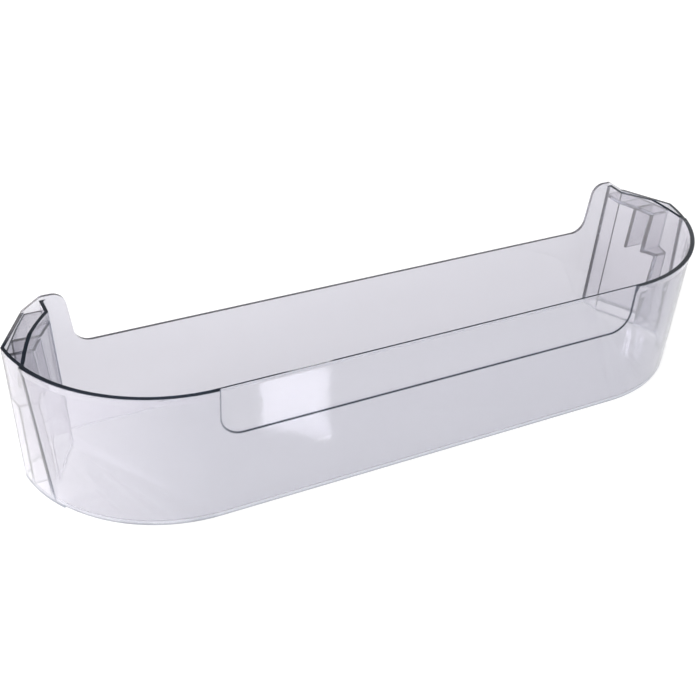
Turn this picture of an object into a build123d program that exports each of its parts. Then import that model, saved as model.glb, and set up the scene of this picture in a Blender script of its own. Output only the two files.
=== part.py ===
"""Fridge door shelf: one clear moulding, hung by a lug pocket at each of its two back corners."""
import os
from math import acos, cos, degrees, radians, sin, sqrt, tan

from build123d import *

# Overall sizes, in millimetres: X runs along the shelf, -Y is its front, Z is up.
width = 492.0  # across the two end curves, at the rim
depth = 124.0  # from the rim bead at the front to the back face
rim_height = 96.0
back_height = 66.5  # top of the low back wall between the ears

# Walls and draft
wall = 2.2
floor = 2.4
draft_angle = 1.7  # the outside leans outwards by this, apart from the flat back
end_radius = 101.0  # outer face of the end curves, at the rim
bottom_round = 2.5
round_end_distance = 74.0  # from the back face to where the bottom edge stops being round
floor_round = 2.0

# Ends: the wall splits into two skins, with a lug pocket between them
split_distance = 58.0  # from the back face to where the end wall splits, at the rim
split_foot_distance = 67.0  # and at the bottom, where the inner skin leans further in
slant_distance = 35.0  # from the back face to where the outer skin leaves the end curve
back_inset = 20.5  # from the end of the shelf to the outer skin at the back face
tray_inset = 34.0  # from the end of the shelf to the inside of the tray at its back, at the rim
tray_foot_inset = 39.0  # and at the bottom
crease_distance = 14.4  # from the back wall to the crease in the inner skin
skin_bow = 2.0  # how far the inner skin bows out between the split and the crease
crest_rise = 6.0  # how far the inner skin stands up over the rim, behind the web
corner_round = 3.0

# Stepped web between the skins: the lug pocket below it is open at the bottom
roof_drop = 1.0  # from the rim down to the roof between the back wall and the crease
roof_front_drop = 4.0  # from the rim down to the front edge of the sloping roof
pocket_length = 33.0  # from the back wall to the upright part of the web
step_height = 60.0  # underside of the step
step_length = 43.0
rib = 1.6  # thickness of the rib that hangs from the roof as low as the step
rib_distance = 23.0  # from the back wall to the middle of the rib

# Ears above the rim, and the low back wall between them
ear_rise = 8.0
ear_foot_inset = 51.5  # from the end of the shelf to each corner of the ear
ear_inner_inset = 46.7
ear_outer_inset = 32.5
shoulder_inset = 17.0
shoulder_drop = 2.0
ear_foot_round = 11.0
ear_inner_round = 9.0
ear_outer_round = 4.0

# Rim bead along the end curves, and the shallow panel in the front wall between them
bead = 1.0
bead_height = 1.2  # upright face of the bead
bead_foot = 5.0  # from the rim down to where the bead's sloping underside meets the wall
rim_round = 0.4
panel_margin = 0.6  # from the end curve to the side of the panel
panel_base = 61.5
panel_sink = 0.9
panel_round = 14.0

# Worked out from the sizes above
flare = tan(radians(draft_angle))
end_x = width / 2
ear_height = rim_height + ear_rise
shoulder_height = rim_height - shoulder_drop
crest_height = rim_height + crest_rise
roof_height = rim_height - roof_drop
roof_front_height = rim_height - roof_front_drop
back_y = depth / 2
front_y = bead - depth / 2
back_wall_y = back_y - wall
arc_x = end_x - end_radius
arc_y = front_y + end_radius
split_y = back_y - split_distance
round_end_y = back_y - round_end_distance
slant_y = back_y - slant_distance
crease_x = end_x - tray_inset
crease_y = back_wall_y - crease_distance
pocket_y = back_wall_y - pocket_length
step_y = back_wall_y - step_length
roof_fall = (roof_height - roof_front_height) / (pocket_length + wall - crease_distance)
rib_top = roof_height - wall / 2 - roof_fall * (rib_distance - crease_distance)
spare = 2 * wall + ear_height * flare  # how far a cut runs past the face that it opens


def on_end_curve(radius, y):
    """Point at the depth y on the end curve of this radius."""
    return (arc_x + sqrt(radius**2 - (arc_y - y) ** 2), y)


def end_curve(radius, y):
    """End curve of this radius, from the straight front to the depth y."""
    middle = (arc_x + radius * sqrt(0.5), arc_y - radius * sqrt(0.5))
    return ThreePointArc((arc_x, arc_y - radius), middle, on_end_curve(radius, y))


def outside_outline(inset):
    """Plan of the whole shelf at the rim, drawn in by inset and run out past the back."""
    with BuildSketch() as plan:
        with BuildLine():
            curve = end_curve(end_radius, slant_y)
            slant = Line(curve @ 1, (end_x - back_inset, back_y))
            tail = Line(slant @ 1, slant @ 1 + slant % 1 * 2 * spare)
            Line((0, front_y), curve @ 0)
            Line(tail @ 1, (0, (tail @ 1).Y))
            mirror(about=Plane.YZ)
        make_face()
        offset(amount=-inset, kind=Kind.INTERSECTION)
    return plan.sketch


def tray_outline(height, grow=0):
    """Plan of the inside of the tray at this height, grown outwards and run out past the back."""
    drop = rim_height - height
    part_y = split_y - (split_foot_distance - split_distance) * drop / rim_height
    skin_x = crease_x - (tray_foot_inset - tray_inset) * drop / rim_height
    with BuildSketch(Plane.XY.offset(height)) as plan:
        with BuildLine():
            curve = end_curve(end_radius - wall - drop * flare, part_y)
            skin = SagittaArc(curve @ 1, (skin_x, crease_y), -skin_bow)
            tail = Line(skin @ 1, (skin_x, back_y + 2 * spare))
            Line((0, (curve @ 0).Y), curve @ 0)
            Line(tail @ 1, (0, (tail @ 1).Y))
            mirror(about=Plane.YZ)
        make_face()
        offset(amount=grow, kind=Kind.INTERSECTION)
    return plan.sketch


# Outside of the shelf as one drafted block, flat at the back
with BuildPart() as block:
    with BuildSketch():
        add(outside_outline(rim_height * flare))
    extrude(amount=ear_height, taper=-draft_angle)
    split(bisect_by=Plane.XZ.offset(-back_y), keep=Keep.TOP)

# Front of the block, with a round along its bottom edge that ends where the skins part
with BuildPart() as front_block:
    add(block.part)
    split(bisect_by=Plane.XZ.offset(-round_end_y), keep=Keep.TOP)
    bottom_edges = front_block.faces().sort_by(Axis.Z)[0].edges()
    fillet(bottom_edges.sort_by(Axis.Y)[:-1], radius=bottom_round)

# Space inside the tray
with BuildPart() as tray_space:
    loft([tray_outline(floor), tray_outline(ear_height)], ruled=True)
    split(bisect_by=Plane.XZ.offset(-back_wall_y), keep=Keep.TOP)
    back_face = tray_space.faces().sort_by(Axis.Y)[-1]
    fillet(back_face.edges().sort_by(Axis.X)[0::3], radius=corner_round)
    fillet(tray_space.faces().sort_by(Axis.Z)[0].edges(), radius=floor_round)

# Space inside the tray and the skin around it
with BuildPart() as skin_block:
    loft([tray_outline(0, wall), tray_outline(ear_height, wall)], ruled=True)

# Crests of the inner skins, which slope up from the split to the web and run on level to the ears
with BuildPart() as skin_crests:
    add(skin_block.part)
    with BuildSketch(Plane.YZ.offset(-width)):
        Polygon(
            (split_y + wall, rim_height),
            (pocket_y, crest_height),
            (back_y, crest_height),
            (back_y, rim_height),
            align=None,
        )
    extrude(amount=2 * width, mode=Mode.INTERSECT)

# Space over the rim, around the crests and in front of the back wall
with BuildPart() as rim_space:
    with BuildSketch(Plane.XY.offset(rim_height)):
        with Locations((0, back_wall_y)):
            Rectangle(2 * width, 2 * depth, align=(Align.CENTER, Align.MAX))
    extrude(amount=ear_height)
    add(skin_crests.part, mode=Mode.SUBTRACT)

# Space between the two skins of each end, parted by the stepped web
with BuildPart() as skin_space:
    with BuildSketch():
        add(outside_outline(wall + rim_height * flare))
    extrude(amount=ear_height, taper=-draft_angle)
    add(skin_block.part, mode=Mode.SUBTRACT)
    split(bisect_by=Plane.XZ.offset(-back_wall_y), keep=Keep.TOP)
    with BuildSketch(Plane.YZ):
        with BuildLine():
            Polyline(
                (back_wall_y, roof_height),
                (crease_y, roof_height),
                (pocket_y - wall, roof_front_height),
                (pocket_y - wall, step_height + wall),
                (step_y - wall, step_height + wall),
                (step_y - wall, floor),
                (round_end_y, floor),
                (round_end_y, 0),
                (step_y, 0),
                (step_y, step_height),
                (pocket_y, step_height),
                (pocket_y, roof_front_height - wall),
                (crease_y, roof_height - wall),
                (back_wall_y, roof_height - wall),
                close=True,
            )
        make_face()
        with Locations((back_wall_y - rib_distance, step_height)):
            Rectangle(rib, rib_top - step_height, align=(Align.CENTER, Align.MIN))
    extrude(amount=width, both=True, mode=Mode.SUBTRACT)

# The shelf itself
with BuildPart() as door_shelf:
    add(front_block.part)
    add(split(block.part, bisect_by=Plane.XZ.offset(-round_end_y), keep=Keep.BOTTOM, mode=Mode.PRIVATE))
    add(tray_space.part, mode=Mode.SUBTRACT)
    add(skin_space.part, mode=Mode.SUBTRACT)
    add(rim_space.part, mode=Mode.SUBTRACT)

    # Top edge of the back wall, from the low middle over the ears
    with BuildSketch(Plane.XZ.offset(-back_y)):
        with BuildLine():
            top_edge = FilletPolyline(
                (0, back_height),
                (end_x - ear_foot_inset, back_height),
                (end_x - ear_inner_inset, ear_height),
                (end_x - ear_outer_inset, ear_height),
                (end_x - shoulder_inset, shoulder_height),
                radius=[ear_foot_round, ear_inner_round, ear_outer_round],
            )
            Polyline(top_edge @ 1, (width, shoulder_height), (width, 2 * ear_height), (0, 2 * ear_height))
            mirror(about=Plane.YZ)
        make_face()
    extrude(amount=wall, mode=Mode.SUBTRACT)

    # Bead outside the rim of each end curve, with an underside that slopes into the middle of the wall
    root = wall / 2
    root_height = rim_height - bead_foot - (bead_foot - bead_height) * root / bead
    with BuildSketch(Plane.YZ.offset(arc_x)):
        Polygon(
            (front_y + root, rim_height),
            (front_y - bead, rim_height),
            (front_y - bead, rim_height - bead_height),
            (front_y + root, root_height),
            align=None,
        )
    bead_angle = degrees(acos((arc_y - split_y) / end_radius))
    rim_bead = revolve(axis=Axis((arc_x, arc_y, 0), (0, 0, 1)), revolution_arc=bead_angle)
    mirror(rim_bead, about=Plane.YZ)

    # Shallow panel sunk into the outside of the front wall, open at the rim
    lean = radians(draft_angle)
    front_plane = Plane((0, front_y, rim_height), x_dir=(1, 0, 0), z_dir=(0, -cos(lean), -sin(lean)))
    with BuildSketch(front_plane) as panel:
        Rectangle(2 * (arc_x - panel_margin), 2 * (rim_height - panel_base) / cos(lean))
        fillet(panel.vertices().group_by(Axis.Y)[0], radius=panel_round)
    extrude(amount=-panel_sink, mode=Mode.SUBTRACT)

    # Small rounds along the rim: three edges inside the tray, the two beads and the top of the panel
    rim_edges = door_shelf.edges().filter_by_position(Axis.Z, rim_height, rim_height)
    fillet(rim_edges.sort_by(SortBy.LENGTH)[-6:], radius=rim_round)

door_shelf.part.label = "door_shelf"

os.makedirs("parts", exist_ok=True)
export_step(door_shelf.part, "parts/door_shelf.step")
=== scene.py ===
"""Fridge door shelf: one clear moulding on a white studio floor, seen from its left, in front and above."""

from math import radians

import bmesh
import bpy
from mathutils import Matrix, Vector

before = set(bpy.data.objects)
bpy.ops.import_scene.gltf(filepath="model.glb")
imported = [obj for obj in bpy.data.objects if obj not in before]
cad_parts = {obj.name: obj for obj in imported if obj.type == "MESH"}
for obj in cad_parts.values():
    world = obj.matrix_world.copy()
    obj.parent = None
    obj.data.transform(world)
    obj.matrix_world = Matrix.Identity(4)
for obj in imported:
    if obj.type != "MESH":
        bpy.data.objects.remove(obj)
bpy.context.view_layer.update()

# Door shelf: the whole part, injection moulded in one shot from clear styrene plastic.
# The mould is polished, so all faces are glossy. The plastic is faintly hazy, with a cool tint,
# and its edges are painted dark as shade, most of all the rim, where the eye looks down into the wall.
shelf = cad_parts["door_shelf"]
styrene_ior = 1.57
clarity = 0.86
body_colour = (0.873, 0.857, 0.897, 1.0)
# Dark colour of the painted shade on edges, rim tops, leaning lines, panel outline and foot
painted_shade_colour = (0.035, 0.06, 0.1, 1.0)
tint_colour = (0.482, 0.512, 0.62, 1.0)
tint_density = 100.0


def add_node(tree, kind, **settings):
    """New node of this kind, with its inputs set by name; spaces in a name are underscores."""
    node = tree.nodes.new(kind)
    for name, value in settings.items():
        node.inputs[name.replace("_", " ")].default_value = value
    return node


def combine(tree, operation, first, second=0.0):
    """Result of a math node on two outputs, or on an output and a plain number."""
    node = tree.nodes.new("ShaderNodeMath")
    node.operation = operation
    tree.links.new(first, node.inputs[0])
    if isinstance(second, float):
        node.inputs[1].default_value = second
    else:
        tree.links.new(second, node.inputs[1])
    return node.outputs["Value"]


def fade(tree, value, start, end, before=0.0, after=1.0):
    """Result that goes from one level to another while the value goes from start to end."""
    node = add_node(tree, "ShaderNodeMapRange", From_Min=start, From_Max=end, To_Min=before, To_Max=after)
    tree.links.new(value, node.inputs["Value"])
    return node.outputs["Result"]


clear_plastic = bpy.data.materials.new("clear_plastic_polished")
clear_plastic.use_nodes = True
tree = clear_plastic.node_tree
skin = tree.nodes["Principled BSDF"]
output = tree.nodes["Material Output"]
place = add_node(tree, "ShaderNodeTexCoord")
spot = add_node(tree, "ShaderNodeSeparateXYZ")
facing = add_node(tree, "ShaderNodeSeparateXYZ")
tree.links.new(place.outputs["Object"], spot.inputs["Vector"])
tree.links.new(place.outputs["Normal"], facing.inputs["Vector"])

# Long, shallow waves that the plastic leaves as it flows and shrinks
wave_size = 0.055
wave_stretch = 3.0
wave_depth = 0.0004
along = add_node(tree, "ShaderNodeMapping", Scale=(1 / wave_stretch, 1.0, 1.0))
waves = add_node(tree, "ShaderNodeTexNoise", Scale=1 / wave_size, Detail=1.0, Roughness=0.4)
wave_bump = add_node(tree, "ShaderNodeBump", Strength=1.0, Distance=wave_depth)
tree.links.new(place.outputs["Object"], along.inputs["Vector"])
tree.links.new(along.outputs["Vector"], waves.inputs["Vector"])
tree.links.new(waves.outputs["Fac"], wave_bump.inputs["Height"])
tree.links.new(wave_bump.outputs["Normal"], skin.inputs["Normal"])

# Rub marks of bottles and cloths, which dull the polish here and there
rub_spacing = 0.0035
patch_size = 0.055
polish_roughness = 0.015
rubbed_roughness = 0.06
rub_start = 0.15
rub_full = 0.42
rubs = add_node(tree, "ShaderNodeTexNoise", Scale=1 / rub_spacing, Detail=4.0, Roughness=0.65)
patches = add_node(tree, "ShaderNodeTexNoise", Scale=1 / patch_size, Detail=2.0)
tree.links.new(place.outputs["Object"], rubs.inputs["Vector"])
tree.links.new(place.outputs["Object"], patches.inputs["Vector"])
rubbed = combine(tree, "MULTIPLY", rubs.outputs["Fac"], patches.outputs["Fac"])
dulling = fade(tree, rubbed, rub_start, rub_full, polish_roughness, rubbed_roughness)
tree.links.new(dulling, skin.inputs["Roughness"])

# Painted shade in the corners, where the surface turns within half a wall's thickness.
# The likeness of the flat face's direction and the rounded one's falls there.
corner_reach = 0.001
corner_start = 0.98
corner_full = 0.75
rounded = add_node(tree, "ShaderNodeBevel", Radius=corner_reach)
rounded.samples = 4
flat = add_node(tree, "ShaderNodeNewGeometry")
likeness = add_node(tree, "ShaderNodeVectorMath")
likeness.operation = "DOT_PRODUCT"
tree.links.new(rounded.outputs["Normal"], likeness.inputs[0])
tree.links.new(flat.outputs["Normal"], likeness.inputs[1])
painted_corner_shade = fade(tree, likeness.outputs["Value"], corner_start, corner_full)

# Painted shade on the level tops of the rim, of the crests behind it and of the ledge under the front panel.
# The painted shade on the top of the outer skin fades out towards the back wall.
rim_level = 0.0955
crest_level = 0.0975
panel_face = -0.0588
pale_rim_start = 0.044
dark_rim_end = 0.030
level_start = 0.4
level_full = 0.8
on_rim = combine(tree, "GREATER_THAN", spot.outputs["Z"], rim_level)
on_crest = combine(tree, "GREATER_THAN", spot.outputs["Z"], crest_level)
on_ledge = combine(tree, "LESS_THAN", spot.outputs["Y"], panel_face)
dark_rim = combine(tree, "MULTIPLY", on_rim, fade(tree, spot.outputs["Y"], pale_rim_start, dark_rim_end))
dark_top = combine(tree, "MAXIMUM", combine(tree, "MAXIMUM", dark_rim, on_crest), on_ledge)
painted_top_shade = combine(tree, "MULTIPLY", dark_top, fade(tree, facing.outputs["Z"], level_start, level_full))

# Painted shade along the foot of the walls, where the shelf stands; the level floor stays clear
foot_top = 0.0035
foot_full = 0.0015
foot_shade = 0.8
level_floor = 0.9
foot = fade(tree, spot.outputs["Z"], foot_top, foot_full, after=foot_shade)
upright = combine(tree, "LESS_THAN", combine(tree, "ABSOLUTE", facing.outputs["Z"]), level_floor)
painted_foot_shade = combine(tree, "MULTIPLY", foot, upright)

# Painted shade in leaning lines down both ends' outsides, where the two skins part and the plastic is thick
line_at_foot = -0.0065
line_lean = 0.1
line_half_width = 0.0018
line_shade = 0.75
end_face = 0.2295
line_place = combine(tree, "ADD", combine(tree, "MULTIPLY", spot.outputs["Z"], line_lean), line_at_foot)
line_distance = combine(tree, "ABSOLUTE", combine(tree, "SUBTRACT", spot.outputs["Y"], line_place))
line = fade(tree, line_distance, line_half_width, 0.0, after=line_shade)
from_middle = combine(tree, "ABSOLUTE", spot.outputs["X"])
at_end = combine(tree, "GREATER_THAN", from_middle, end_face)
outside = combine(tree, "LESS_THAN", flat.outputs["Backfacing"], 0.5)
painted_split_shade = combine(tree, "MULTIPLY", line, combine(tree, "MULTIPLY", at_end, outside))

# Painted light: lug pockets behind those lines, between the inner skins and the outer ones, painted paler
pocket_light_colour = (0.965, 0.95, 0.975, 1.0)
skin_at_foot = 0.2065
skin_lean = 0.052
skin_place = combine(tree, "ADD", combine(tree, "MULTIPLY", spot.outputs["Z"], skin_lean), skin_at_foot)
past_skin = combine(tree, "GREATER_THAN", from_middle, skin_place)
past_line = combine(tree, "GREATER_THAN", spot.outputs["Y"], line_place)
painted_pocket_light = combine(tree, "MULTIPLY", past_skin, past_line)

# Painted shade: dark outline of the front panel, where its rounded ledge bends the light
panel_half_width = 0.1444
panel_base = 0.0615
panel_round = 0.014
outline_half_width = 0.0009
outline_core = 0.0003
outline_shade = 0.65
aside = combine(tree, "MAXIMUM", combine(tree, "SUBTRACT", from_middle, panel_half_width - panel_round), 0.0)
below = combine(tree, "MINIMUM", combine(tree, "SUBTRACT", spot.outputs["Z"], panel_base + panel_round), 0.0)
aside_square = combine(tree, "MULTIPLY", aside, aside)
squares = combine(tree, "ADD", aside_square, combine(tree, "MULTIPLY", below, below))
corner_distance = combine(tree, "SQRT", squares)
outline_distance = combine(tree, "ABSOLUTE", combine(tree, "SUBTRACT", corner_distance, panel_round))
outline = fade(tree, outline_distance, outline_half_width, outline_core, after=outline_shade)
painted_panel_shade = combine(tree, "MULTIPLY", outline, on_ledge)

# All painted places together: painted shade over the body's colour, and painted light that makes it paler
# in the pockets. The back wall's edges stay pale, without painted shade.
back_wall_face = 0.0595
body_stop = 0.04
edges = combine(tree, "MAXIMUM", painted_corner_shade, painted_top_shade)
painted_line_shade = combine(tree, "MAXIMUM", painted_foot_shade, combine(tree, "MAXIMUM", painted_split_shade, painted_panel_shade))
before_back = combine(tree, "LESS_THAN", spot.outputs["Y"], back_wall_face)
darkness = combine(tree, "MULTIPLY", combine(tree, "MAXIMUM", edges, painted_line_shade), before_back)
shade = add_node(tree, "ShaderNodeValToRGB")
shade.color_ramp.elements[0].color = pocket_light_colour
shade.color_ramp.elements[1].color = painted_shade_colour
shade.color_ramp.elements.new(body_stop).color = body_colour
body_level = fade(tree, painted_pocket_light, 0.0, 1.0, body_stop, 0.0)
tree.links.new(combine(tree, "MAXIMUM", darkness, body_level), shade.inputs["Fac"])
tree.links.new(shade.outputs["Color"], skin.inputs["Base Color"])

skin.inputs["IOR"].default_value = styrene_ior
skin.inputs["Transmission Weight"].default_value = clarity
tint = add_node(tree, "ShaderNodeVolumeAbsorption", Color=tint_colour, Density=tint_density)
tree.links.new(tint.outputs["Volume"], output.inputs["Volume"])
shelf.material_slots[0].material = clear_plastic

# Studio floor: a wide white sheet that the shelf stands on.
# It is white to the eye, also through the clear plastic, and takes a faint shadow.
floor_size = 12.0
floor_glow = 0.92
floor_paint = 0.25
sheet_colour = (0.85, 0.85, 0.86, 1.0)
floor_mesh = bpy.data.meshes.new("studio_floor")
sheet = bmesh.new()
bmesh.ops.create_grid(sheet, x_segments=1, y_segments=1, size=floor_size / 2)
sheet.to_mesh(floor_mesh)
sheet.free()
floor = bpy.data.objects.new("studio_floor", floor_mesh)
bpy.context.scene.collection.objects.link(floor)

white_sheet = bpy.data.materials.new("white_sheet")
white_sheet.use_nodes = True
tree = white_sheet.node_tree
tree.nodes.remove(tree.nodes["Principled BSDF"])
output = tree.nodes["Material Output"]


def seen_directly(tree):
    """1 on rays that show a surface to the eye: straight, mirrored or through clear plastic."""
    path = add_node(tree, "ShaderNodeLightPath")
    in_air = combine(tree, "MAXIMUM", path.outputs["Is Camera Ray"], path.outputs["Is Glossy Ray"])
    return combine(tree, "MAXIMUM", in_air, path.outputs["Is Transmission Ray"])


lit_sheet = add_node(tree, "ShaderNodeBsdfDiffuse", Color=sheet_colour)
thin_paint = add_node(tree, "ShaderNodeBsdfDiffuse", Color=(floor_paint, floor_paint, floor_paint, 1.0))
glow = add_node(tree, "ShaderNodeEmission", Color=(1.0, 1.0, 1.0, 1.0), Strength=floor_glow)
seen_sheet = add_node(tree, "ShaderNodeAddShader")
either_sheet = add_node(tree, "ShaderNodeMixShader")
tree.links.new(thin_paint.outputs["BSDF"], seen_sheet.inputs[0])
tree.links.new(glow.outputs["Emission"], seen_sheet.inputs[1])
tree.links.new(seen_directly(tree), either_sheet.inputs["Fac"])
tree.links.new(lit_sheet.outputs["BSDF"], either_sheet.inputs[1])
tree.links.new(seen_sheet.outputs["Shader"], either_sheet.inputs[2])
tree.links.new(either_sheet.outputs["Shader"], output.inputs["Surface"])
floor_mesh.materials.append(white_sheet)

# Studio room: pale walls that are white to the eye, under a grey ceiling.
# The ceiling shows in the tray's glossy floor and darkens it a little.
room_colour = (0.97, 0.97, 1.0, 1.0)
room_light = 0.12
ceiling_light = 0.2
wall_top = 0.3
ceiling_edge = 0.55
room = bpy.data.worlds.new("studio_room")
bpy.context.scene.world = room
room.use_nodes = True
tree = room.node_tree
walls = tree.nodes["Background"]
walls.inputs["Color"].default_value = room_colour
walls.inputs["Strength"].default_value = room_light
white_walls = add_node(tree, "ShaderNodeBackground", Color=(1.0, 1.0, 1.0, 1.0))
direction = add_node(tree, "ShaderNodeTexCoord")
rise = add_node(tree, "ShaderNodeSeparateXYZ")
tree.links.new(direction.outputs["Generated"], rise.inputs["Vector"])
wall_shade = fade(tree, rise.outputs["Z"], wall_top, ceiling_edge, 1.0, ceiling_light)
tree.links.new(wall_shade, white_walls.inputs["Strength"])
either_walls = add_node(tree, "ShaderNodeMixShader")
tree.links.new(seen_directly(tree), either_walls.inputs["Fac"])
tree.links.new(walls.outputs["Background"], either_walls.inputs[1])
tree.links.new(white_walls.outputs["Background"], either_walls.inputs[2])
tree.links.new(either_walls.outputs["Shader"], tree.nodes["World Output"].inputs["Surface"])

# Lamps: soft boxes above, at the left end, in front and behind, which the glossy faces don't mirror.
# Two small windows behind light next to nothing and only show as white patches in the tray's floor.
warm_white = (1.0, 0.95, 0.97)
cool_white = (0.94, 1.0, 1.0)


def soft_box(name, place, target, size, power, colour=(1.0, 1.0, 1.0), mirrored=False):
    """Square lamp turned to a target, hidden from the camera and, unless mirrored, in the plastic too."""
    lamp = bpy.data.lights.new(name, "AREA")
    lamp.size = size
    lamp.energy = power
    lamp.color = colour
    box = bpy.data.objects.new(name, lamp)
    box.visible_camera = False
    box.visible_glossy = mirrored
    box.visible_transmission = mirrored
    aim = (Vector(target) - Vector(place)).to_track_quat("-Z", "Y")
    box.matrix_world = Matrix.Translation(place) @ aim.to_matrix().to_4x4()
    bpy.context.scene.collection.objects.link(box)


soft_box("soft_box_above", (-0.5, -0.4, 1.9), (0.0, 0.0, 0.0), size=1.2, power=8.0)
soft_box("soft_box_left", (-1.45, 0.05, 0.35), (-0.2, 0.0, 0.05), size=0.9, power=44.0, colour=warm_white)
soft_box("soft_box_front", (-0.4, -1.5, 0.25), (0.0, 0.0, 0.05), size=1.0, power=27.0, colour=cool_white)
soft_box("soft_box_behind", (0.0, 1.6, 0.58), (-0.1, 0.0, 0.05), size=0.6, power=8.0)
soft_box("window_behind", (0.612, 1.491, 1.192), (-0.058, 0.029, 0.002), size=0.165, power=0.9, mirrored=True)
soft_box("window_right", (0.758, 0.530, 0.475), (0.21, -0.005, 0.002), size=0.04, power=0.08, mirrored=True)

# Camera: at the photograph's place, with its lens, on a square picture.
# Its place and its three angles were fitted to the shelf's edges in the photograph.
camera_place = (-0.3148, -0.5317, 0.4587)
camera_heading = radians(27.94)
camera_dip = radians(33.85)
camera_roll = radians(2.65)
camera_lens = 57.4
lens = bpy.data.cameras.new("camera")
lens.lens = camera_lens
camera = bpy.data.objects.new("camera", lens)
camera.matrix_world = (
    Matrix.Translation(camera_place)
    @ Matrix.Rotation(-camera_heading, 4, "Z")
    @ Matrix.Rotation(radians(90) - camera_dip, 4, "X")
    @ Matrix.Rotation(camera_roll, 4, "Z")
)
bpy.context.scene.collection.objects.link(camera)
bpy.context.scene.camera = camera
bpy.context.scene.view_settings.view_transform = "Standard"
